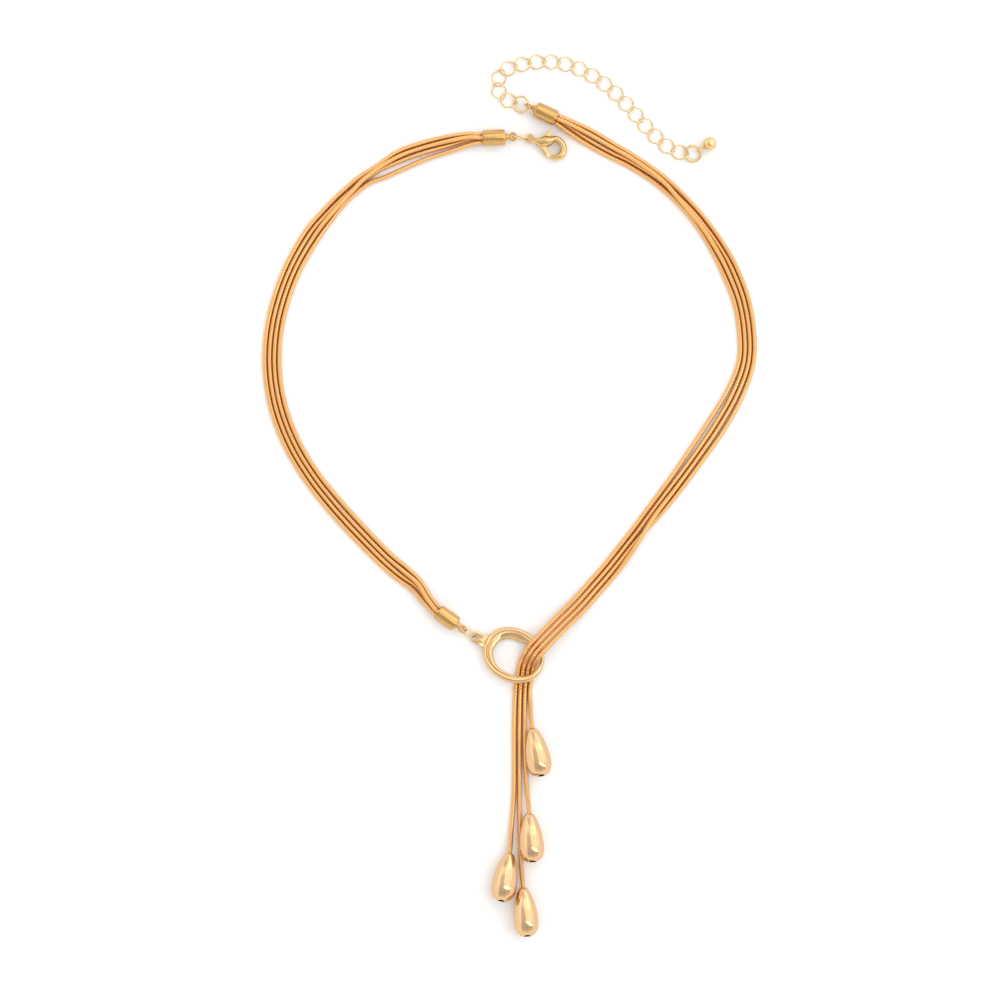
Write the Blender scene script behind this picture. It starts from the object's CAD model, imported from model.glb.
"""Tassel necklace of snake chains, laid flat and seen from straight above."""
import math

import bmesh
import bpy
from mathutils import Matrix, Vector


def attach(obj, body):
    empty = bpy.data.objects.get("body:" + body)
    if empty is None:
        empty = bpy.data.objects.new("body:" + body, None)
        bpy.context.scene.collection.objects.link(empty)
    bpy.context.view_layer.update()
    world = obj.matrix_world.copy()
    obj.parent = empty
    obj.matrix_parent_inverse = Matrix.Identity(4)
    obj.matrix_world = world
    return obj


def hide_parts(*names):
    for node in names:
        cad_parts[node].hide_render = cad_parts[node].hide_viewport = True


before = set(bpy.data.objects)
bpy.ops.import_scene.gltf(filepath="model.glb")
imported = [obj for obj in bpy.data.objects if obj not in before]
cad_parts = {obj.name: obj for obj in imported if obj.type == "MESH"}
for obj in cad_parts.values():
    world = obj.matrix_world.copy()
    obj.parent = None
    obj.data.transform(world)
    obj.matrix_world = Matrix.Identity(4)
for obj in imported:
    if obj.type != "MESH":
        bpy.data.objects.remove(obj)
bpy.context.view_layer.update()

# Sizes are in millimetres and angles in degrees, unless a comment says otherwise
MM = 0.001
UP = Vector((0, 0, 1))

# Corners closer together than MERGE become one, and slivers under SLIVER go, in metres
MERGE = 0.001 * MM
SLIVER = 0.004 * MM

# Edges that bend by more than these angles stay sharp
SHARP_CAP = 32
SHARP_CAST = 35
SHARP_BEAD = 40
SHARP_ROUND = 50

# Steps of the roundings: a chain's core, and the edges of flat castings
CORE_ROUNDING = 3
EDGE_ROUNDING = 2

# Camera: what the photograph shows across, where its middle lies, how far the camera
# sees in metres, and its lens
VIEW_WIDE = 250
VIEW_MIDDLE = (-2.375, -1.25)
VIEW_FAR = 20
LENS = 110
SENSOR = 36

# Floor: its side in metres, then its colour, roughness and shine
FLOOR_WIDE = 6
FLOOR_PALE = 0.97
FLOOR_ROUGH = 0.9
FLOOR_SHINE = 0.1

# Light, in metres and watts: the sky's strength, then name, place, width, height and
# power of each soft box
WORLD_LIGHT = 1.2
SOFT_BOXES = (
    ("key", (0.5, 0.4, 0.75), 1.4, 1.4, 3.1),
    ("strip", (0.5, -0.14, 0.85), 0.22, 1.3, 1.18),
)
# Ceiling of the light tent: how far its streaks show by how steeply a ray rises, then
# brightness by how steeply it rises and by which way, each from 0 to 1 of its span
SKY_STREAKS_BY_RISE = ((0, 0), (0.3, 0), (0.55, 1), (1, 1))
SKY_BY_RISE = ((0.0, 1.0), (0.5, 1.0), (0.8, 0.8), (1.0, 0.76))
SKY_BY_X = (
    (0.0, 1.05), (0.17, 1.35), (0.18, 0.78), (0.25, 0.88), (0.5, 0.95), (0.6, 0.82),
    (0.68, 0.95), (0.86, 1.0), (0.87, 0.3), (0.9, 0.3), (0.91, 1.15), (1.0, 1.1),
)
SKY_BY_Y = (
    (0.0, 1.0), (0.12, 0.9), (0.33, 0.74), (0.42, 0.84), (0.6, 1.0), (0.72, 1.08),
    (0.76, 1.4), (0.82, 1.4), (0.86, 0.8), (1.0, 1.0),
)

# Golds: colour, roughness, then the scale of the fine wear and its depth in metres
GOLDS = {
    "snake_chain_gold": ((0.842, 0.491, 0.201), 0.2, 900, 0.00002),
    "cap_gold": ((0.654, 0.397, 0.150), 0.17, 1400, 0.00001),
    "bead_gold": ((0.785, 0.524, 0.299), 0.05, 700, 0.00001),
    "ring_gold": ((0.776, 0.524, 0.281), 0.08, 700, 0.00002),
    "clasp_gold": ((0.804, 0.552, 0.262), 0.16, 900, 0.00002),
    "link_gold": ((0.842, 0.636, 0.337), 0.2, 900, 0.00002),
}

# All golds: how the colour drifts and how much deeper it gets, then the wear's detail,
# the spread that it gives the roughness, and the strength of its relief
DRIFT_SCALE = 90
DRIFT_DETAIL = 3
DRIFT_DEEPER = (0.94, 0.88, 0.76)
WEAR_DETAIL = 5
WEAR_SPREAD = (0.7, 1.4)
WEAR_RELIEF = 0.4

# Snake chains: the steps are what 1 means in the side and lift columns of the bundles.
# A chain goes CHAIN_IN_CAP deep into a cap, and ends CHAIN_TO_BEAD_END before the wide
# end of its bead. A plate is a ring of wire, stretched along the chain and bent like a
# saddle, and the core fills the plates.
CHAIN_D = 1.15
CHAIN_SIDE_STEP = 1.2
CHAIN_LIFT_STEP = 1.28
CHAIN_IN_CAP = 4.3
CHAIN_TO_BEAD_END = 1.6
ROUTE_STEP = 0.8
PLATE_D = 1.22
PLATE_PITCH = 0.42
PLATE_SIDES = 12
PLATE_WIRE = 0.22
PLATE_WIRE_SIDES = 4
PLATE_HALF_THICK = 0.2
PLATE_WAVE = 0.06
CORE_D = 1.08

# Caps: a tube shut at one end, with a collar, and an eye whose middle lies EYE_OUT past
# the tube; the pinhole keeps the spun outline off its axis
CAP_D = 4
CAP_LEN = 5.5
CAP_BORE = 3.36
CAP_END_THICK = 0.8
CAP_PINHOLE_R = 0.02
CAP_SIDES = 64
CAP_AXIS_Z = CAP_D / 2
COLLAR_D = 2
COLLAR_LEN = 1.2
EYE_OUT = 1.95
EYE_D = 2.3
EYE_WIRE = 0.65

# Half outline of a cap from its open end. The straight bore begins at CAP_BORE_FROM, and
# CAP_MOUTH is (along, out from the bore). The others are (along, in from the outside),
# for the lip from the open end, and for the shoulder and collar from the tube's far end.
CAP_BORE_FROM = 0.1
CAP_MOUTH = (0.02, 0.04)
CAP_LIP = (
    (0, 0.08), (0.03, 0.02), (0.1, 0), (0.32, 0), (0.36, 0.05), (0.44, 0.05), (0.5, 0.01),
    (2.5, 0.01),
)
CAP_SHOULDER = ((-0.45, 0.01), (-0.2, 0.04), (-0.06, 0.13), (0, 0.3))
COLLAR_OUTLINE = (
    (0, -0.15), (0.04, -0.03), (0.12, 0), (0.3, 0), (0.42, 0.08), (0.5, 0.26),
    (COLLAR_LEN - 0.1, 0.36), (COLLAR_LEN, 0.5),
)

# Each cap: open end's x and y, heading to the eye, the eye's roll
CAPS = {
    "clasp_cap": ((-6.6, 89.0), 2.5, 0),
    "extender_cap": ((11.5, 93.9), 155, 70),
    "ring_cap": ((-17.8, -29.1), -35, -30),
}

# Clasp: place of its eye and its heading, then sizes and places in its own frame,
# where x runs from its eye to its nose; a fit is the room round the pin
CLASP_AT = Vector((5.1, 89.0, 1.3))
CLASP_HEADING = -25
CLASP_EYE_R = 0.9
CLASP_EYE_WIRE = 0.65
CLASP_CORNERS = 24
CLASP_STEPS = 4
HOOK_CENTRE = (6.4, 0.25)
HOOK_HOLE = 3.4
PIVOT = (3.3, -0.3)
PIN_D = 0.6
PIN_LEN = 1.8
PIN_SIDES = 24
PIN_FIT = 0.03
PIN_HOLE_LEN = 4
LEVER_FIT = 0.06
LEVER_EDGE = 0.1
GATE_THICK = 0.8
SLOT_THICK = 1.0

# Wire: steps round a ring and sides of its wire, then the same for an oval loop
RING_STEPS = 48
RING_WIRE_SIDES = 14
LOOP_STEPS = 36
LOOP_WIRE_SIDES = 12

# Extender chain: its links, the jump ring before them and the end ring after them. Each
# ring reaches RING_OVER into its link and has BENT_GAP between its bent ends; the turns
# of the gaps are in radians.
LINK_PITCH = 3.66
LINK_LEN = 4.75
LINK_WIDTH = 3.9
LINK_WIRE = 0.38
LINK_TWIST = -45
LINK_Z = 0.86
RING_WIRE = 0.55
RING_OVER = 0.42
BENT_GAP = 2
EXTENDER_START = (1.5, 97.85)
LINK_HEADINGS = (
    159, 113, 67, 21, 12, 5, -4, -15, -24,
    -32, -37, -43, -48, -49, -48, -45, -37, -13,
)
JUMP_RING_ROLL = -20
JUMP_GAP_TURN = 1.9
END_RING_R = 1.95
END_RING_WIRE = 0.68
END_RING_HEADING = 5
END_RING_ROLL = 15
END_GAP_TURN = 4.4

# End ball: it has a neck and an eye of its own, on the end ring. The neck ends at
# BALL_NECK_END radii from the ball's middle, and BALL_ANGLES give the ball's outline.
BALL_D = 3.45
BALL_SIDES = 48
BALL_ANGLES = range(16, 180, 8)
BALL_NECK_R = 0.4
BALL_NECK_END = 0.97
BALL_HEADING = 30
BALL_EYE_R = 0.75
BALL_EYE_WIRE = 0.45
BALL_REACH = 2.8

# Twisted ring: a little oval and tilted; its tab's lengths are from the ring's middle
RING_AT = Vector((1.0, -40.0, 1.72))
RING_R = 7.35
RING_OVAL = 0.6
RING_OVAL_HEADING = -30
RING_TILT = 8.8
RING_LOW_HEADING = 85
RING_STATIONS = 96
RING_CORNERS = 20
TAB_HEADING = 154
TAB_HOLE_AT = 10.7
TAB_HOLE_R = 0.8
TAB_FROM = 6.4
TAB_ROUND_BACK = 0.4
TAB_WIDTH = 3.0
TAB_THICK = 0.7
TAB_EDGE = 0.12

# Small links at the ring's cap and at the clasp's: wire, half width, roll, and how far
# the end at the tab or the clasp is moved down or up
SMALL_LINK_WIRE = 0.5
RING_LINK_HALF = 1.3
RING_LINK_ROLL = 52
RING_LINK_DROP = 0.1
CLASP_LINK_HALF = 1.4
CLASP_LINK_ROLL = 90
CLASP_LINK_LIFT = 0.2

# Beads: the straight bore is cut from before the narrow end to past the place inside
# the wide end where the rising hole begins. BEAD_CLEAR is the gap to the floor, and the
# faces of the flat ends point along the axis by more than BEAD_END_NORMAL.
BEAD_LEN = 12
BEAD_D = 6.3
BEAD_SIDES = 72
BEAD_STEPS = 5
BEAD_BORE = 1.5
BEAD_BORE_SIDES = 32
BEAD_BORE_BEFORE = 1
BEAD_BORE_PAST = 0.4
BEAD_HOLE_LEN = 5
BEAD_HOLE_DEEP = 2.2
BEAD_HOLE_RISE = 29
BEAD_TILT = 7
BEAD_CLEAR = 0.02
BEAD_END_NORMAL = 0.9999

# Bundle of the left chains: x, y, then side and lift of chains 1 to 4, in steps
LEFT_ROWS = (
    (-6.6, 89.0, -0.71, 1.11, 0.00, 1.82, 0.00, 0.40, 0.71, 1.11),
    (-10.4, 88.7, -1.15, 0.60, -0.35, 1.35, 0.05, 0.15, 1.10, 0.60),
    (-15.5, 87.5, -1.60, 0.10, -0.60, 0.65, 0.24, 0.00, 1.50, 0.10),
    (-21.2, 86.0, -1.70, 0.00, -0.69, 0.25, 0.32, 0.00, 1.76, 0.00),
    (-26.8, 83.9, -1.78, 0.00, -0.79, 0.38, 0.22, 0.00, 1.97, 0.00),
    (-32.0, 81.1, -1.29, 0.00, -0.62, 1.00, -0.24, 0.00, 1.62, 0.00),
    (-34.7, 79.6, -1.12, 0.00, -0.27, 1.12, -0.06, 0.00, 1.16, 0.00),
    (-37.2, 78.0, -1.05, 0.00, 0.05, 1.15, 0.00, 0.00, 1.05, 0.00),
    (-41.8, 74.0, -1.05, 0.00, 0.55, 1.00, 0.00, 0.00, 1.05, 0.00),
    (-45.8, 69.4, -1.35, 0.00, 0.45, 0.85, -0.32, 0.00, 1.23, 0.00),
    (-49.5, 64.6, -1.57, 0.00, 0.50, 0.25, -0.54, 0.00, 1.50, 0.00),
    (-54.0, 56.8, -1.50, 0.00, 0.50, 0.00, -0.50, 0.00, 1.50, 0.00),
    (-57.2, 48.3, -1.50, 0.00, 0.50, 0.00, -0.50, 0.00, 1.50, 0.00),
    (-59.0, 39.6, -1.50, 0.00, 0.50, 0.00, -0.50, 0.00, 1.50, 0.00),
    (-59.2, 30.6, -1.50, 0.00, 0.50, 0.00, -0.50, 0.00, 1.50, 0.00),
    (-57.6, 21.4, -1.50, 0.00, 0.50, 0.00, -0.50, 0.00, 1.50, 0.00),
    (-54.2, 12.6, -1.50, 0.00, 0.50, 0.00, -0.50, 0.00, 1.50, 0.00),
    (-49.4, 4.6, -1.50, 0.00, 0.50, 0.00, -0.50, 0.00, 1.50, 0.00),
    (-43.7, -2.6, -1.55, 0.00, 0.50, 0.00, -0.52, 0.00, 1.58, 0.00),
    (-37.6, -9.3, -1.55, 0.00, 0.50, 0.00, -0.52, 0.00, 1.55, 0.00),
    (-31.2, -15.8, -1.50, 0.00, 0.50, 0.00, -0.50, 0.00, 1.50, 0.00),
    (-27.0, -19.5, -1.45, 0.05, 0.58, 0.40, -0.45, 0.00, 1.60, 0.00),
    (-23.3, -22.5, -1.22, 0.35, 0.48, 1.10, -0.22, 0.00, 1.20, 0.35),
    (-20.6, -26.0, -0.90, 0.90, 0.15, 1.62, -0.04, 0.25, 0.90, 0.90),
    (-17.8, -29.1, -0.71, 1.11, 0.00, 1.82, 0.00, 0.40, 0.71, 1.11),
)

# Bundle of the right chains, down to the twisted ring; columns as above
RIGHT_ROWS = (
    (11.5, 93.9, -0.71, 1.11, 0.00, 1.82, 0.71, 1.11, 0.00, 0.40),
    (14.9, 92.1, -1.15, 0.60, 0.28, 1.35, 1.06, 0.60, -0.12, 0.15),
    (19.8, 89.4, -1.50, 0.10, 0.50, 0.65, 1.45, 0.10, -0.46, 0.00),
    (25.4, 86.1, -1.36, 0.00, 0.55, 0.70, 1.40, 0.00, -0.34, 0.00),
    (30.8, 83.2, -1.17, 0.00, 0.40, 0.95, 1.20, 0.00, -0.15, 0.00),
    (38.2, 78.2, -1.08, 0.00, 0.05, 1.15, 1.03, 0.00, -0.04, 0.00),
    (44.8, 71.8, -1.03, 0.00, -0.55, 1.00, 1.03, 0.00, 0.00, 0.00),
    (48.6, 67.1, -1.15, 0.00, -0.50, 0.95, 1.15, 0.00, 0.12, 0.00),
    (51.9, 62.0, -1.32, 0.00, -0.50, 0.80, 1.38, 0.00, 0.36, 0.00),
    (54.9, 56.4, -1.52, 0.00, -0.50, 0.25, 1.55, 0.00, 0.53, 0.00),
    (57.9, 48.7, -1.50, 0.00, -0.50, 0.00, 1.50, 0.00, 0.50, 0.00),
    (59.3, 40.6, -1.50, 0.00, -0.50, 0.00, 1.50, 0.00, 0.50, 0.00),
    (59.1, 33.0, -1.50, 0.00, -0.50, 0.00, 1.50, 0.00, 0.50, 0.00),
    (56.3, 25.2, -1.70, 0.00, -0.50, 0.00, 1.60, 0.00, 0.52, 0.00),
    (51.9, 17.4, -1.95, 0.00, -0.50, 0.00, 1.70, 0.00, 0.55, 0.00),
    (46.8, 9.9, -1.85, 0.00, -0.50, 0.00, 1.60, 0.00, 0.52, 0.00),
    (41.5, 2.7, -1.60, 0.00, -0.50, 0.00, 1.55, 0.00, 0.52, 0.20),
    (36.1, -4.3, -1.45, 0.00, -0.40, 0.00, 1.30, 0.00, 0.50, 0.90),
    (32.2, -9.2, -1.25, 0.00, -0.20, 0.00, 0.88, 0.00, 1.05, 1.12),
    (28.7, -13.9, -1.36, 0.00, -0.35, 0.00, 0.68, 0.00, 1.45, 0.80),
    (25.1, -18.7, -1.52, 0.00, -0.51, 0.00, 0.50, 0.00, 1.51, 0.15),
    (21.1, -23.3, -1.53, 0.25, -0.52, 0.25, 0.49, 0.25, 1.50, 0.25),
    (17.1, -27.7, -1.54, 0.95, -0.52, 0.95, 0.50, 0.95, 1.52, 0.95),
    (12.8, -31.9, -1.54, 1.75, -0.52, 1.80, 0.50, 1.85, 1.52, 1.90),
    (8.2, -36.6, -1.54, 2.20, -0.52, 2.25, 0.50, 2.35, 1.52, 2.40),
    (5.8, -39.4, -1.54, 1.90, -0.53, 2.00, 0.48, 2.12, 1.48, 2.30),
    (4.5, -42.6, -1.68, 0.30, -0.67, 0.25, 0.34, 0.20, 1.34, 0.18),
    (3.8, -45.2, -1.50, 0.00, -0.50, 0.00, 0.50, 0.00, 1.50, 0.00),
    (3.3, -48.6, -1.50, 0.00, -0.50, 0.00, 0.50, 0.00, 1.50, 0.00),
)

# Free ends of the right chains 1 to 4 below the ring: x, y, lift in millimetres
TAILS = (
    ((1.2, -57.0, 0), (1.2, -66.0, 0), (1.1, -75.0, 0), (0.5, -83.5, 0.3)),
    ((2.5, -57.0, 0), (2.5, -66.0, 0), (2.5, -76.0, 0), (2.6, -87.5, 0), (2.9, -92.5, 0.3)),
    ((3.8, -57.0, 0), (3.9, -66.0, 0), (4.4, -73.5, 0.3)),
    ((5.2, -52.5, 0.3),),
)

# Beads: narrow end's x and y, heading to the wide end, and the chain
BEADS = (
    (5.7, -58.3, -79, 4),
    (4.95, -79.5, -86, 3),
    (0.0, -89.4, -100, 1),
    (3.4, -98.0, -85, 2),
)

# Half outline of a bead: part of the length, part of the radius
BEAD_OUTLINE = (
    (0.00, 0.30), (0.03, 0.39), (0.12, 0.56), (0.27, 0.76), (0.43, 0.91), (0.58, 0.98),
    (0.70, 1.00), (0.81, 0.95), (0.90, 0.82), (0.96, 0.61), (1.00, 0.35),
)

# Twisted ring: angle round the ring, width of the band, width and height of its outer
# ridge, width, height and sink of its inner ridge, and their lean
RING_ROWS = (
    (-10, 1.00, 1.00, 1.90, 0.60, 1.20, 0.00, 0),
    (30, 2.20, 1.25, 1.85, 1.35, 1.20, 0.10, 22),
    (75, 3.20, 1.35, 1.70, 2.35, 0.75, 0.08, 27),
    (118, 3.10, 1.30, 1.65, 2.25, 0.80, 0.05, 24),
    (146, 2.90, 1.20, 1.60, 2.05, 1.30, 0.00, 2),
    (180, 2.60, 1.15, 1.65, 1.85, 1.40, 0.00, -5),
    (215, 2.20, 1.45, 1.80, 1.15, 1.50, 0.00, -8),
    (250, 2.15, 1.75, 1.85, 0.75, 1.40, 0.00, -6),
    (285, 2.05, 1.95, 1.90, 0.60, 1.20, 0.00, -6),
    (320, 1.50, 1.50, 2.00, 0.60, 1.20, 0.00, -2),
)

# Clasp: x, y, heading, half width, half height of its back, then angle about the
# hook's centre, half width, half height, heading of its hook, and the hook's rounded
# tip as how far past its last row and what part of its width and height
CLASP_BACK = (
    (0.75, 0.00, 0, 0.50, 0.55),
    (1.80, 0.05, 10, 0.85, 0.85),
    (2.90, 0.40, 25, 1.30, 1.15),
    (4.00, 1.05, 32, 1.45, 1.30),
    (5.00, 1.75, 30, 1.10, 1.30),
)
CLASP_HOOK = (
    (100, 0.75, 1.25, 10),
    (75, 0.72, 1.20, -15),
    (50, 0.75, 1.15, -40),
    (25, 0.85, 1.15, -65),
    (0, 0.92, 1.15, -90),
    (-25, 0.88, 1.10, -115),
    (-48, 0.75, 1.00, -140),
    (-66, 0.62, 0.85, -170),
    (-80, 0.52, 0.65, -205),
)
CLASP_TIP = ((0.1, 0.85), (0.16, 0.5))
# Slot of the lever, as two boxes: x from and to, y from and to
CLASP_SLOT = ((1.9, 5.5, -3.0, 1.1), (1.9, 4.5, 1.0, 4.0))
# End of the pin: how far from its tip, and part of its radius
PIN_END = ((0, 0), (0.02, 0.6), (0.08, 0.95), (0.14, 1))
# Lever seen from above, about the pin
LEVER_OUTLINE = (
    (-0.60, -0.50), (-0.10, -0.80), (0.30, -1.00), (0.96, -1.35), (1.70, -1.87), (2.30, -2.12),
    (2.80, -2.20), (3.00, -2.12), (3.10, -1.90), (3.46, -1.12), (3.10, -1.15), (2.66, -1.09),
    (2.25, -0.92), (1.80, -0.54), (1.50, -0.03), (1.35, 0.35), (1.05, 0.52), (0.62, 0.55),
    (0.48, 0.75), (1.00, 2.50), (1.02, 3.10), (0.98, 3.60), (0.96, 4.05), (0.82, 4.28),
    (0.58, 4.25), (0.44, 4.00), (0.20, 3.50), (-0.12, 3.00), (-0.34, 2.50), (-0.36, 0.75),
    (-0.60, 0.52), (-0.78, 0.10), (-0.76, -0.22),
)


def aim(heading):
    return Vector((math.cos(math.radians(heading)), math.sin(math.radians(heading)), 0))


def deselect():
    bpy.ops.object.select_all(action="DESELECT")


def activate(piece):
    deselect()
    piece.select_set(True)
    bpy.context.view_layer.objects.active = piece


def turn_by(angle, axis="Z"):
    return Matrix.Rotation(math.radians(angle), 3, axis)


def turned(way, lean):
    """Turn that sets a circle across a way, with its X to the left and its Y up."""
    way = Vector(way).normalized()
    left = UP.cross(way).normalized()
    turn = Matrix((left, way.cross(left), way)).transposed()
    return (turn @ turn_by(lean)).to_euler()


def start_edit():
    """Enters edit mode with everything picked."""
    bpy.ops.object.mode_set(mode="EDIT")
    bpy.ops.mesh.select_all(action="SELECT")


def end_edit():
    """Turns all faces outwards and leaves edit mode."""
    bpy.ops.mesh.select_all(action="SELECT")
    bpy.ops.mesh.normals_make_consistent(inside=False)
    bpy.ops.object.mode_set(mode="OBJECT")


def oval(corners, centre, way, lean, wide, high):
    deselect()
    bpy.ops.mesh.primitive_circle_add(
        vertices=corners, radius=MM, location=Vector(centre) * MM,
        rotation=turned(way, lean))
    piece = bpy.context.object
    piece.scale = (wide, high, 1)
    bpy.ops.object.transform_apply()
    return piece


def lofted(name, sections, corners, closed=False):
    """Skin over ovals set at (centre, way, lean, half width, half height)."""
    piece = joined(name, [oval(corners, *section) for section in sections])
    bpy.ops.object.mode_set(mode="EDIT")
    mesh = bmesh.from_edit_mesh(piece.data)
    count = len(sections)
    for i in range(count if closed else count - 1):
        select_ovals(mesh, corners, (i, (i + 1) % count))
        bpy.ops.mesh.bridge_edge_loops()
    if not closed:
        for i in (0, count - 1):
            select_ovals(mesh, corners, (i,))
            bpy.ops.mesh.edge_face_add()
    end_edit()
    return piece


def select_ovals(mesh, corners, which):
    bpy.ops.mesh.select_all(action="DESELECT")
    for edge in mesh.edges:
        ends = {v.index // corners for v in edge.verts}
        if len(ends) == 1 and ends.issubset(which):
            edge.select = True


def poly_line(name, points, closed):
    data = bpy.data.curves.new(name, "CURVE")
    data.dimensions = "3D"
    add_line(data, points, closed)
    return linked(name, data)


def add_line(data, points, closed):
    line = data.splines.new("POLY")
    line.points.add(len(points) - 1)
    for point, p in zip(line.points, points):
        point.co = (*(Vector(p).to_3d() * MM), 1)
    line.use_cyclic_u = closed


def linked(name, data):
    piece = bpy.data.objects.new(name, data)
    bpy.context.collection.objects.link(piece)
    return piece


def made_mesh(curve):
    activate(curve)
    bpy.ops.object.convert(target="MESH")
    return bpy.context.object


def spun(name, profile, closed, steps):
    """Outline of (along, radius) points, spun round the X axis."""
    piece = made_mesh(poly_line(name, [(t, 0, r) for t, r in profile], closed))
    start_edit()
    bpy.ops.mesh.spin(steps=steps, angle=2 * math.pi, center=(0, 0, 0), axis=(1, 0, 0))
    bpy.ops.mesh.select_all(action="SELECT")
    bpy.ops.mesh.remove_doubles(threshold=MERGE)
    end_edit()
    return piece


def placed(piece, at, turn):
    """Sets a piece made about the origin at its place."""
    activate(piece)
    piece.matrix_world = Matrix.Translation(Vector(at) * MM) @ turn.to_4x4()
    bpy.ops.object.transform_apply()
    return piece


def copied(model, name):
    piece = linked(name, model.data.copy())
    piece.data.name = name
    return piece


def applied(piece, kind, **settings):
    activate(piece)
    modifier = piece.modifiers.new(kind.lower(), kind)
    for key, value in settings.items():
        setattr(modifier, key, value)
    bpy.ops.object.modifier_apply(modifier=modifier.name)


def smooth(piece, angle=None):
    activate(piece)
    if angle is None:
        bpy.ops.object.shade_smooth()
    else:
        bpy.ops.object.shade_smooth_by_angle(angle=math.radians(angle))


def joined(name, parts):
    activate(parts[0])
    for part in parts[1:]:
        part.select_set(True)
    bpy.ops.object.join()
    piece = bpy.context.object
    piece.name = name
    piece.data.name = name
    return piece


def ring_of_wire(name, radius, wire, at, turn, gap=0):
    """Round ring of wire; one that is bent shut has a hairline gap, in degrees."""
    deselect()
    bpy.ops.mesh.primitive_circle_add(
        vertices=RING_WIRE_SIDES, radius=wire / 2 * MM, location=(radius * MM, 0, 0),
        rotation=(math.pi / 2, 0, 0))
    bpy.ops.object.transform_apply()
    piece = bpy.context.object
    start_edit()
    bpy.ops.mesh.spin(
        steps=RING_STEPS, angle=math.radians(360 - gap), center=(0, 0, 0), axis=(0, 0, 1))
    bpy.ops.mesh.select_all(action="SELECT")
    bpy.ops.mesh.remove_doubles(threshold=MERGE)
    if gap:
        bpy.ops.mesh.select_all(action="DESELECT")
        bpy.ops.mesh.select_non_manifold()
        bpy.ops.mesh.fill_holes(sides=0)
    end_edit()
    piece.name = name
    smooth(piece, SHARP_ROUND)
    return placed(piece, at, turn)


def along_line(span, roll):
    """Turn that sets X along a line and rolls about it."""
    heading = math.atan2(span[1], span[0])
    rise = math.atan2(span[2], math.hypot(span[0], span[1]))
    turn = Matrix.Rotation(heading, 3, "Z") @ Matrix.Rotation(-rise, 3, "Y")
    return turn @ turn_by(roll, "X")


def finished(piece, material, node, body="necklace"):
    piece.data.materials.clear()
    piece.data.materials.append(material)
    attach(piece, body)
    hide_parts(node)


def noise(tree, where, scale, detail):
    node = tree.nodes.new("ShaderNodeTexNoise")
    node.inputs["Scale"].default_value = scale
    node.inputs["Detail"].default_value = detail
    tree.links.new(where.outputs["Object"], node.inputs["Vector"])
    return node.outputs["Fac"]


def gold(name, colour, rough, grain, depth):
    """Polished gold plate: colour drifts a little, with fine wear in its gloss."""
    material = bpy.data.materials.new(name)
    material.use_nodes = True
    tree = material.node_tree
    link = tree.links.new
    shader = tree.nodes["Principled BSDF"]
    shader.inputs["Metallic"].default_value = 1
    where = tree.nodes.new("ShaderNodeTexCoord")
    tint = tree.nodes.new("ShaderNodeMix")
    tint.data_type = "RGBA"
    tint.inputs["A"].default_value = (*colour, 1)
    tint.inputs["B"].default_value = (*[c * k for c, k in zip(colour, DRIFT_DEEPER)], 1)
    link(noise(tree, where, DRIFT_SCALE, DRIFT_DETAIL), tint.inputs["Factor"])
    link(tint.outputs["Result"], shader.inputs["Base Color"])
    wear = noise(tree, where, grain, WEAR_DETAIL)
    gloss = tree.nodes.new("ShaderNodeMapRange")
    gloss.inputs["To Min"].default_value = rough * WEAR_SPREAD[0]
    gloss.inputs["To Max"].default_value = rough * WEAR_SPREAD[1]
    link(wear, gloss.inputs["Value"])
    link(gloss.outputs["Result"], shader.inputs["Roughness"])
    bump = tree.nodes.new("ShaderNodeBump")
    bump.inputs["Strength"].default_value = WEAR_RELIEF
    bump.inputs["Distance"].default_value = depth
    link(wear, bump.inputs["Height"])
    link(bump.outputs["Normal"], shader.inputs["Normal"])
    return material


def spline(p, q, r, s, t):
    """Point on the smooth curve from q to r, with p before and s after them."""
    return 0.5 * (
        2 * q + (r - p) * t + (2 * p - 5 * q + 4 * r - s) * t * t
        + (3 * q - p - 3 * r + s) * t * t * t)


def eased_rows(rows, steps):
    """Rows of numbers with others set between them on a smooth curve."""
    rows = [Vector(r) for r in rows]
    ends = [rows[0], *rows, rows[-1]]
    eased = []
    for p, q, r, s in zip(ends, ends[1:], ends[2:], ends[3:]):
        eased += [spline(p, q, r, s, j / steps) for j in range(steps)]
    return [*eased, rows[-1]]


def bundle(rows, k):
    """Points of one chain of a bundle."""
    points = []
    for i, row in enumerate(rows):
        before = Vector(rows[max(i - 1, 0)][:2])
        after = Vector(rows[min(i + 1, len(rows) - 1)][:2])
        way = (after - before).normalized()
        side = row[2 * k] * CHAIN_SIDE_STEP
        lift = row[2 * k + 1] * CHAIN_LIFT_STEP
        points.append(Vector((
            row[0] - side * way[1], row[1] + side * way[0], CHAIN_D / 2 + lift)))
    return points


def route(points):
    """Smooth route through points, past the first and up to the last but one."""
    path = []
    for p, q, r, s in zip(points, points[1:], points[2:], points[3:]):
        count = max(2, math.ceil((r - q).length / ROUTE_STEP))
        for j in range(count):
            point = spline(p, q, r, s, j / count)
            point[2] = max(point[2], PLATE_D / 2)
            path.append(point)
    return path + [points[-2]]


def straight(start, end):
    count = max(2, math.ceil((end - start).length / ROUTE_STEP))
    return [start.lerp(end, i / count) for i in range(count)]


def whole_route(first, points, last):
    """Route from first to last, smooth through the points and straight at its ends."""
    middle = route([first] + points + [last])
    return straight(first, middle[0]) + middle[:-1] + straight(middle[-1], last) + [last]


def in_cap(cap, point):
    return point + CHAIN_IN_CAP * aim(CAPS[cap][1])


def bead_way(row):
    """Way of a bead's axis, which rises towards its wide end."""
    tilt = math.radians(BEAD_TILT)
    return math.cos(tilt) * aim(row[2]) + math.sin(tilt) * UP


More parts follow.
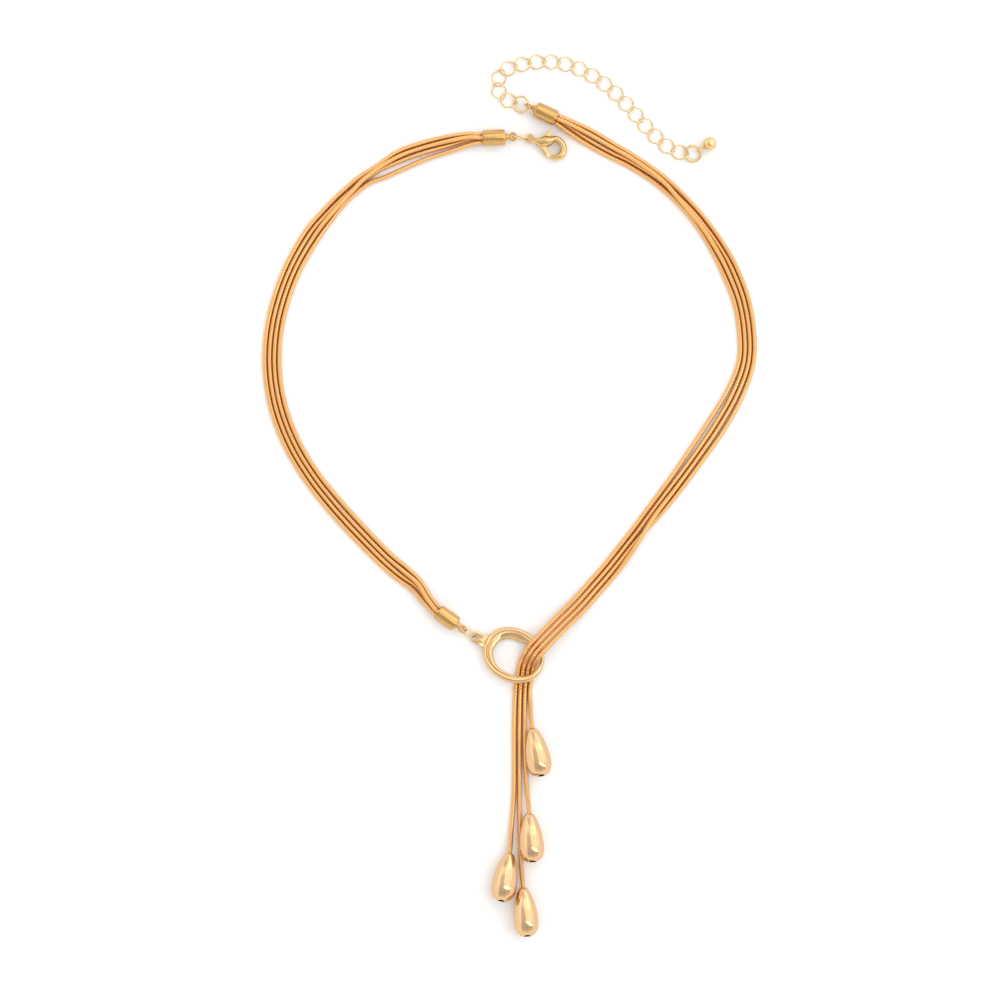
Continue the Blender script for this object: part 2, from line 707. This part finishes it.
def bead_nose(row):
    """Middle of a bead's narrow end, so high that the bead just clears the floor."""
    tilt = math.radians(BEAD_TILT)
    z = BEAD_CLEAR + max(
        r * BEAD_D / 2 * math.cos(tilt) - t * BEAD_LEN * math.sin(tilt)
        for t, r in BEAD_OUTLINE)
    return Vector((row[0], row[1], z))


def left_route(k):
    points = bundle(LEFT_ROWS, k)
    first = in_cap("clasp_cap", points[0])
    return whole_route(first, points, in_cap("ring_cap", points[-1]))


def right_route(k):
    row = next(r for r in BEADS if r[3] == k)
    tail = [Vector((x, y, CHAIN_D / 2 + z)) for x, y, z in TAILS[k - 1]]
    nose = bead_nose(row)
    points = bundle(RIGHT_ROWS, k) + tail + [nose]
    first = in_cap("extender_cap", points[0])
    return whole_route(first, points, nose + (BEAD_LEN - CHAIN_TO_BEAD_END) * bead_way(row))


def path_curve(name, path, thick=0):
    curve = poly_line(name, path, False)
    curve.data.twist_mode = "Z_UP"
    curve.data.bevel_depth = thick / 2 * MM
    curve.data.bevel_resolution = CORE_ROUNDING
    curve.data.use_fill_caps = thick > 0
    return curve


def ring_plate():
    """Flat ring plate of a snake chain that runs along X."""
    deselect()
    bpy.ops.mesh.primitive_torus_add(
        major_segments=PLATE_SIDES, minor_segments=PLATE_WIRE_SIDES,
        major_radius=(PLATE_D - PLATE_WIRE) / 2 * MM, minor_radius=PLATE_WIRE / 2 * MM,
        rotation=(0, math.pi / 2, 0))
    bpy.ops.object.transform_apply()
    start_edit()
    bpy.ops.transform.resize(value=(2 * PLATE_HALF_THICK / PLATE_WIRE, 1, 1))
    bpy.ops.object.mode_set(mode="OBJECT")
    return bpy.context.object


def bend(plate):
    """Bends a ring plate like a saddle."""
    bpy.ops.object.mode_set(mode="EDIT")
    mesh = bmesh.from_edit_mesh(plate.data)
    for step in range(PLATE_SIDES):
        turn = 360 * step / PLATE_SIDES
        bpy.ops.mesh.select_all(action="DESELECT")
        for v in mesh.verts:
            angle = math.degrees(math.atan2(v.co[2], v.co[1]))
            v.select = abs((angle - turn + 180) % 360 - 180) < 180 / PLATE_SIDES
        mesh.select_flush(True)
        shift = PLATE_WAVE * math.cos(math.radians(2 * turn)) * MM
        bpy.ops.transform.translate(value=(shift, 0, 0))
    bpy.ops.object.mode_set(mode="OBJECT")


def wavy_plates():
    """Two ring plates of a snake chain, each bent like a saddle, a quarter turn apart."""
    plate = ring_plate()
    bend(plate)
    start_edit()
    bpy.ops.mesh.duplicate()
    bpy.ops.transform.rotate(value=math.pi / 2, orient_axis="X", center_override=(0, 0, 0))
    bpy.ops.transform.translate(value=(PLATE_PITCH * MM, 0, 0))
    bpy.ops.object.mode_set(mode="OBJECT")
    return plate


def snake_chain(name, path, plates, material):
    """Plates set one after another along a path, round a core that fills them."""
    length = sum((b - a).length for a, b in zip(path, path[1:]))
    core = made_mesh(path_curve("core", path, CORE_D))
    guide = path_curve("guide", path)
    chain = copied(plates, name)
    applied(
        chain, "ARRAY", count=int(length / (2 * PLATE_PITCH)), use_relative_offset=False,
        use_constant_offset=True,
        constant_offset_displace=(2 * PLATE_PITCH * MM, 0, 0))
    applied(chain, "CURVE", object=guide, deform_axis="POS_X")
    bpy.data.objects.remove(guide)
    chain = joined(name, [chain, core])
    smooth(chain, SHARP_ROUND)
    finished(chain, material, name.replace("chain", "strand"))


def cap_shell():
    """End cap along X from its open end, with a soft lip, a collar and a shut end."""
    edge = CAP_D / 2
    bore = CAP_BORE / 2
    neck = COLLAR_D / 2
    inside = CAP_LEN - CAP_END_THICK
    profile = [(CAP_MOUTH[0], bore + CAP_MOUTH[1])]
    profile += [(t, edge - depth) for t, depth in CAP_LIP]
    profile += [(CAP_LEN + t, edge - depth) for t, depth in CAP_SHOULDER]
    profile += [(CAP_LEN + t, neck - depth) for t, depth in COLLAR_OUTLINE]
    profile += [(CAP_LEN + COLLAR_LEN, CAP_PINHOLE_R), (inside, CAP_PINHOLE_R)]
    profile += [(inside, bore), (CAP_BORE_FROM, bore)]
    shell = spun("cap", profile, True, CAP_SIDES)
    smooth(shell, SHARP_CAP)
    return shell


def cap_eye(cap):
    """Middle of a cap's eye."""
    at, heading, _ = CAPS[cap]
    return Vector((*at, CAP_AXIS_Z)) + (CAP_LEN + EYE_OUT) * aim(heading)


def end_caps(material):
    model = cap_shell()
    for name, (at, heading, roll) in CAPS.items():
        way = turn_by(heading)
        shell = placed(copied(model, "shell"), (*at, CAP_AXIS_Z), way)
        eye = ring_of_wire(
            "eye", (EYE_D - EYE_WIRE) / 2, EYE_WIRE, cap_eye(name), way @ turn_by(roll, "X"))
        finished(joined(name + "_shell", [shell, eye]), material, name)
    bpy.data.objects.remove(model)


def merge_flat_ends(bead):
    """Makes each flat end of a bead one face."""
    bpy.ops.object.mode_set(mode="EDIT")
    bpy.ops.mesh.select_mode(type="FACE")
    for face in bmesh.from_edit_mesh(bead.data).faces:
        face.select = abs(face.normal.x) > BEAD_END_NORMAL
    bpy.ops.mesh.dissolve_faces()
    bpy.ops.mesh.select_mode(type="VERT")
    bpy.ops.object.mode_set(mode="OBJECT")


def drill(bead, start, rise, deep):
    """Bores a hole from a place on a bead's axis, level or rising."""
    slope = math.radians(rise)
    middle = Vector((start, 0, 0)) + deep / 2 * Vector((math.cos(slope), 0, math.sin(slope)))
    deselect()
    bpy.ops.mesh.primitive_cylinder_add(
        vertices=BEAD_BORE_SIDES, radius=BEAD_BORE / 2 * MM, depth=deep * MM,
        location=middle * MM, rotation=(0, math.pi / 2 - slope, 0))
    hollowed(bead, bpy.context.object)


def teardrop():
    """Bead along X from its narrow end, bored for the chain; its far hole opens upwards."""
    line = eased_rows(BEAD_OUTLINE, BEAD_STEPS)
    profile = [(t * BEAD_LEN, r * BEAD_D / 2) for t, r in line]
    bead = spun("bead", [(0, 0), *profile, (BEAD_LEN, 0)], False, BEAD_SIDES)
    merge_flat_ends(bead)
    inside = BEAD_LEN - BEAD_HOLE_DEEP
    drill(bead, -BEAD_BORE_BEFORE, 0, BEAD_BORE_BEFORE + BEAD_BORE_PAST + inside)
    drill(bead, inside, BEAD_HOLE_RISE, BEAD_HOLE_LEN)
    trimmed(bead)
    smooth(bead, SHARP_BEAD)
    return bead


def beads(material):
    model = teardrop()
    for i, row in enumerate(BEADS):
        turn = bead_way(row).to_track_quat("X", "Z").to_matrix()
        piece = placed(copied(model, f"teardrop_{i + 1}"), bead_nose(row), turn)
        finished(piece, material, f"bead_{i + 1}")
    bpy.data.objects.remove(model)


def row_at(rows, angle):
    """Row of a closed table at an angle, eased between its neighbours."""
    rows = [*rows, (rows[0][0] + 360, *rows[0][1:])]
    a, b = next((a, b) for a, b in zip(rows, rows[1:]) if a[0] <= angle <= b[0])
    t = (angle - a[0]) / (b[0] - a[0])
    t = t * t * (3 - 2 * t)
    return [p + t * (q - p) for p, q in zip(a, b)]


def ring_band():
    """Two ridges that run round the ring side by side and merge under the chains."""
    ridges = {"outer": [], "inner": []}
    for i in range(RING_STATIONS):
        angle = RING_ROWS[0][0] + 360 * i / RING_STATIONS
        row = row_at(RING_ROWS, angle)
        wide, outer_wide, outer_high, inner_wide, inner_high, sink, lean = row[1:]
        edge = RING_R + RING_OVAL * math.cos(math.radians(2 * (angle - RING_OVAL_HEADING)))
        way = aim(angle + 90)
        ridges["outer"].append((
            (edge - outer_wide / 2) * aim(angle), way, -lean / 2,
            outer_wide / 2, outer_high / 2))
        ridges["inner"].append((
            (edge - wide + inner_wide / 2) * aim(angle) - sink * UP, way, -lean,
            inner_wide / 2, inner_high / 2))
    parts = [lofted(name, rows, RING_CORNERS, True) for name, rows in ridges.items()]
    band = joined("band", parts)
    smooth(band)
    return band


def flat_casting(name, outlines, thick, edge):
    """Flat part of an outline, with holes, and rounded edges."""
    data = bpy.data.curves.new(name, "CURVE")
    data.dimensions = "2D"
    data.fill_mode = "BOTH"
    data.extrude = (thick / 2 - edge) * MM
    data.bevel_depth = edge * MM
    data.bevel_resolution = EDGE_ROUNDING
    data.offset = -edge * MM
    for points in outlines:
        add_line(data, points, True)
    piece = made_mesh(linked(name, data))
    start_edit()
    bpy.ops.mesh.remove_doubles(threshold=MERGE)
    end_edit()
    smooth(piece, SHARP_CAST)
    return piece


def round_points(centre, radius, first=0, last=345, step=15):
    return [Vector((*centre, 0)) + radius * aim(a) for a in range(first, last + 1, step)]


def twisted_ring(material):
    half = TAB_WIDTH / 2
    outline = [(TAB_FROM, half), (TAB_FROM, -half)]
    outline += round_points(
        (TAB_HOLE_AT - TAB_ROUND_BACK, 0), half, first=-90, last=90, step=9)
    hole = round_points((TAB_HOLE_AT, 0), TAB_HOLE_R)
    tab = flat_casting("tab", (outline, hole), TAB_THICK, TAB_EDGE)
    placed(tab, (0, 0, 0), turn_by(TAB_HEADING))
    tilt = turn_by(-RING_TILT, aim(RING_LOW_HEADING - 90))
    piece = placed(joined("twisted_ring_cast", [ring_band(), tab]), RING_AT, tilt)
    finished(piece, material, "twisted_ring")


def in_clasp(x, y, z=0):
    """Place of a point that is given in the clasp's own frame."""
    return CLASP_AT + turn_by(CLASP_HEADING) @ Vector((x, y, z))


def clasp_casting():
    """Back and hook in one, lofted along their middle line."""
    rows = list(CLASP_BACK)
    for angle, wide, high, heading in CLASP_HOOK:
        centre = Vector((*HOOK_CENTRE, 0)) + (HOOK_HOLE / 2 + wide) * aim(angle)
        rows.append((centre[0], centre[1], heading, wide, high))
    sections = [
        (in_clasp(x, y), aim(heading + CLASP_HEADING), 0, wide, high)
        for x, y, heading, wide, high in eased_rows(rows, CLASP_STEPS)]
    centre, way, _, wide, high = sections[-1]
    for past, part in CLASP_TIP:
        sections.append((centre + past * way, way, 0, wide * part, high * part))
    return lofted("casting", sections, CLASP_CORNERS)


def hollowed(piece, cutter):
    """Cuts the cutter's shape out of a piece, and removes the cutter."""
    applied(piece, "BOOLEAN", object=cutter, operation="DIFFERENCE", solver="EXACT")
    bpy.data.objects.remove(cutter)
    start_edit()
    bpy.ops.mesh.remove_doubles(threshold=SLIVER)
    bpy.ops.object.mode_set(mode="OBJECT")


def trimmed(piece):
    """Splits the many-sided faces that cuts leave, and melts their slivers."""
    activate(piece)
    bpy.ops.object.mode_set(mode="EDIT")
    bpy.ops.mesh.select_mode(type="FACE")
    bpy.ops.mesh.select_all(action="DESELECT")
    for face in bmesh.from_edit_mesh(piece.data).faces:
        face.select = len(face.verts) > 4
    bpy.ops.mesh.quads_convert_to_tris(ngon_method="BEAUTY")
    bpy.ops.mesh.select_mode(type="VERT")
    bpy.ops.mesh.select_all(action="SELECT")
    bpy.ops.mesh.dissolve_degenerate(threshold=SLIVER)
    bpy.ops.object.mode_set(mode="OBJECT")


def cut_slot(casting):
    for x0, x1, y0, y1 in CLASP_SLOT:
        deselect()
        bpy.ops.mesh.primitive_cube_add(size=MM)
        cutter = bpy.context.object
        cutter.scale = (x1 - x0, y1 - y0, SLOT_THICK)
        bpy.ops.object.transform_apply()
        at = in_clasp((x0 + x1) / 2, (y0 + y1) / 2)
        hollowed(casting, placed(cutter, at, turn_by(CLASP_HEADING)))


def cut_pin_hole(casting):
    deselect()
    bpy.ops.mesh.primitive_cylinder_add(
        vertices=PIN_SIDES, radius=(PIN_D / 2 + PIN_FIT) * MM, depth=PIN_HOLE_LEN * MM,
        location=in_clasp(*PIVOT) * MM)
    hollowed(casting, bpy.context.object)


def clasp_body(material):
    casting = clasp_casting()
    cut_slot(casting)
    cut_pin_hole(casting)
    trimmed(casting)
    smooth(casting, SHARP_CAST)
    eye = ring_of_wire("eye", CLASP_EYE_R, CLASP_EYE_WIRE, CLASP_AT, Matrix.Identity(3))
    finished(joined("clasp_cast", [casting, eye]), material, "clasp_body")


def clasp_lever(material):
    hole = round_points((0, 0), PIN_D / 2 + LEVER_FIT)
    lever = flat_casting(
        "clasp_lever_arm", (LEVER_OUTLINE, hole), GATE_THICK, LEVER_EDGE)
    placed(lever, in_clasp(*PIVOT), turn_by(CLASP_HEADING))
    finished(lever, material, "clasp_gate", "clasp_lever")


def clasp_pin(material):
    end = [(PIN_LEN / 2 - inset, PIN_D / 2 * part) for inset, part in PIN_END]
    profile = [(-t, r) for t, r in end] + end[::-1]
    pin = spun("clasp_pin_rod", profile, False, PIN_SIDES)
    smooth(pin, SHARP_ROUND)
    placed(pin, in_clasp(*PIVOT), turn_by(90, "Y"))
    finished(pin, material, "clasp_pin")


def wire_loop(name, long, wide, twist, wire):
    """Oval loop of wire about the origin, its two ends twisted across each other."""
    path = []
    for i in range(LOOP_STEPS):
        a = 2 * math.pi * i / LOOP_STEPS
        turn = math.radians(twist) * math.cos(a)
        path.append(Vector((
            long * math.cos(a), wide * math.sin(a) * math.cos(turn),
            wide * math.sin(a) * math.sin(turn))))
    sections = [
        (p, path[(i + 1) % LOOP_STEPS] - path[i - 1], 0, wire / 2, wire / 2)
        for i, p in enumerate(path)]
    loop = lofted(name, sections, LOOP_WIRE_SIDES, True)
    smooth(loop)
    return loop


def oval_link(name, start, end, wide, roll, material, node):
    """Small link that reaches from start to end, with wide as half its width."""
    span = end - start
    loop = wire_loop(name, span.length / 2, wide, 0, SMALL_LINK_WIRE)
    placed(loop, (start + end) / 2, along_line(span, roll))
    finished(loop, material, node)


def small_links(material):
    slope = math.tan(math.radians(RING_TILT)) * math.cos(
        math.radians(TAB_HEADING - RING_LOW_HEADING))
    hole = RING_AT + TAB_HOLE_AT * (aim(TAB_HEADING) - slope * UP) - RING_LINK_DROP * UP
    oval_link("ring_loop", cap_eye("ring_cap"), hole, RING_LINK_HALF, RING_LINK_ROLL,
              material, "ring_link")
    oval_link("clasp_loop", cap_eye("clasp_cap"), CLASP_AT + CLASP_LINK_LIFT * UP,
              CLASP_LINK_HALF, CLASP_LINK_ROLL, material, "clasp_link")


def extender_links(material):
    """Twisted links, one after another; gives the places where they meet."""
    joints = [Vector((*EXTENDER_START, LINK_Z))]
    model = wire_loop(
        "link", (LINK_LEN - LINK_WIRE) / 2, (LINK_WIDTH - LINK_WIRE) / 2, LINK_TWIST,
        LINK_WIRE)
    for i, heading in enumerate(LINK_HEADINGS):
        joints.append(joints[-1] + LINK_PITCH * aim(heading))
        link = placed(
            copied(model, f"chain_link_{i + 1:02d}"), (joints[i] + joints[i + 1]) / 2,
            turn_by(heading))
        finished(link, material, f"extender_link_{i + 1:02d}")
    bpy.data.objects.remove(model)
    return joints


def jump_ring(joint, material):
    """Ring between the extender's cap and its first link."""
    eye = cap_eye("extender_cap")
    span = joint - eye
    radius = (span.length + RING_OVER) / 2
    turn = along_line(span, JUMP_RING_ROLL) @ Matrix.Rotation(JUMP_GAP_TURN, 3, "Z")
    ring = ring_of_wire(
        "jump_ring", radius, RING_WIRE, eye + radius * span.normalized(), turn, BENT_GAP)
    finished(ring, material, "extender_jump_ring")


def end_ring(joint, material):
    """Ring past the last link, leaning on the floor; gives its middle."""
    middle = joint + (END_RING_R - RING_OVER) * aim(END_RING_HEADING)
    middle[2] = END_RING_WIRE / 2 + END_RING_R * math.sin(math.radians(END_RING_ROLL))
    lie = turn_by(END_RING_HEADING) @ turn_by(END_RING_ROLL, "X")
    turn = lie @ Matrix.Rotation(END_GAP_TURN, 3, "Z")
    ring = ring_of_wire("last_ring", END_RING_R, END_RING_WIRE, middle, turn, BENT_GAP)
    finished(ring, material, "end_ring")
    return middle


def extender(material):
    joints = extender_links(material)
    jump_ring(joints[0], material)
    middle = end_ring(joints[-1], material)
    end_ball(middle, material)


def ball_profile(reach):
    """Half outline of the end ball and its neck; reach is from its eye to its middle."""
    r = BALL_D / 2
    profile = [
        (BALL_EYE_R, 0), (BALL_EYE_R, BALL_NECK_R), (reach - r * BALL_NECK_END, BALL_NECK_R)]
    for angle in BALL_ANGLES:
        a = math.radians(angle)
        profile.append((reach - r * math.cos(a), r * math.sin(a)))
    return profile + [(reach + r, 0)]


def end_ball(ring_middle, material):
    rise = math.sin(math.radians(BALL_HEADING - END_RING_HEADING)) * math.sin(
        math.radians(END_RING_ROLL))
    eye = ring_middle + END_RING_R * (aim(BALL_HEADING) + rise * UP)
    middle = eye + BALL_REACH * aim(BALL_HEADING)
    middle[2] = BALL_D / 2
    span = middle - eye
    body = spun("ball", ball_profile(span.length), False, BALL_SIDES)
    placed(body, eye, along_line(span, 0))
    smooth(body, SHARP_ROUND)
    loop = ring_of_wire("eye", BALL_EYE_R, BALL_EYE_WIRE, eye, along_line(span, 90))
    finished(joined("tag_ball", [body, loop]), material, "end_ball")


def soft_box(name, at, wide, high, power):
    data = bpy.data.lights.new(name, "AREA")
    data.shape = "ELLIPSE"
    data.size = wide
    data.size_y = high
    data.energy = power
    lamp = linked(name, data)
    lamp.location = at
    lamp.rotation_euler = (-Vector(at)).to_track_quat("-Z", "Y").to_euler()


def ramp(tree, source, stops, span=(0, 1)):
    """Brightness by a value from the first to the second of a span."""
    reach = tree.nodes.new("ShaderNodeMapRange")
    reach.inputs["From Min"].default_value = span[0]
    reach.inputs["From Max"].default_value = span[1]
    tree.links.new(source, reach.inputs["Value"])
    node = tree.nodes.new("ShaderNodeValToRGB")
    while len(node.color_ramp.elements) < len(stops):
        node.color_ramp.elements.new(0.5)
    for element, (at, light) in zip(node.color_ramp.elements, stops):
        element.position = at
        element.color = (light, light, light, 1)
    tree.links.new(reach.outputs["Result"], node.inputs["Fac"])
    return node.outputs["Color"]


def paint_sky(tree):
    """Pale light tent, a little darker and streaky overhead, as polished metal shows it."""
    where = tree.nodes.new("ShaderNodeTexCoord")
    parts = tree.nodes.new("ShaderNodeSeparateXYZ")
    tree.links.new(where.outputs["Generated"], parts.inputs["Vector"])
    light = ramp(tree, parts.outputs["Z"], SKY_BY_RISE)
    for axis, stops in (("X", SKY_BY_X), ("Y", SKY_BY_Y)):
        product = tree.nodes.new("ShaderNodeMix")
        product.data_type = "RGBA"
        product.blend_type = "MULTIPLY"
        streaks = ramp(tree, parts.outputs["Z"], SKY_STREAKS_BY_RISE)
        tree.links.new(streaks, product.inputs["Factor"])
        tree.links.new(light, product.inputs["A"])
        tree.links.new(ramp(tree, parts.outputs[axis], stops, (-1, 1)), product.inputs["B"])
        light = product.outputs["Result"]
    tree.links.new(light, tree.nodes["Background"].inputs["Color"])
    tree.nodes["Background"].inputs["Strength"].default_value = WORLD_LIGHT


def make_camera():
    data = bpy.data.cameras.new("camera")
    data.lens = LENS
    data.sensor_width = SENSOR
    data.clip_end = VIEW_FAR
    camera = linked("camera", data)
    camera.location = Vector((*VIEW_MIDDLE, VIEW_WIDE * LENS / SENSOR)) * MM
    bpy.context.scene.camera = camera


def make_stage():
    deselect()
    bpy.ops.mesh.primitive_plane_add(size=FLOOR_WIDE)
    floor = bpy.context.object
    floor.name = "floor"
    material = bpy.data.materials.new("floor_white")
    material.use_nodes = True
    shader = material.node_tree.nodes["Principled BSDF"]
    shader.inputs["Base Color"].default_value = (FLOOR_PALE, FLOOR_PALE, FLOOR_PALE, 1)
    shader.inputs["Roughness"].default_value = FLOOR_ROUGH
    shader.inputs["Specular IOR Level"].default_value = FLOOR_SHINE
    floor.data.materials.append(material)
    world = bpy.data.worlds.new("studio")
    world.use_nodes = True
    paint_sky(world.node_tree)
    bpy.context.scene.world = world
    bpy.context.scene.view_settings.view_transform = "Standard"
    for box in SOFT_BOXES:
        soft_box(*box)


make_camera()
make_stage()
golds = {name: gold(name, *values) for name, values in GOLDS.items()}

end_caps(golds["cap_gold"])
beads(golds["bead_gold"])
twisted_ring(golds["ring_gold"])
small_links(golds["link_gold"])
clasp_body(golds["clasp_gold"])
clasp_lever(golds["clasp_gold"])
clasp_pin(golds["clasp_gold"])
extender(golds["link_gold"])
plates = wavy_plates()
for k in range(1, 5):
    snake_chain(f"left_chain_{k}", left_route(k), plates, golds["snake_chain_gold"])
    snake_chain(f"right_chain_{k}", right_route(k), plates, golds["snake_chain_gold"])
bpy.data.objects.remove(plates)
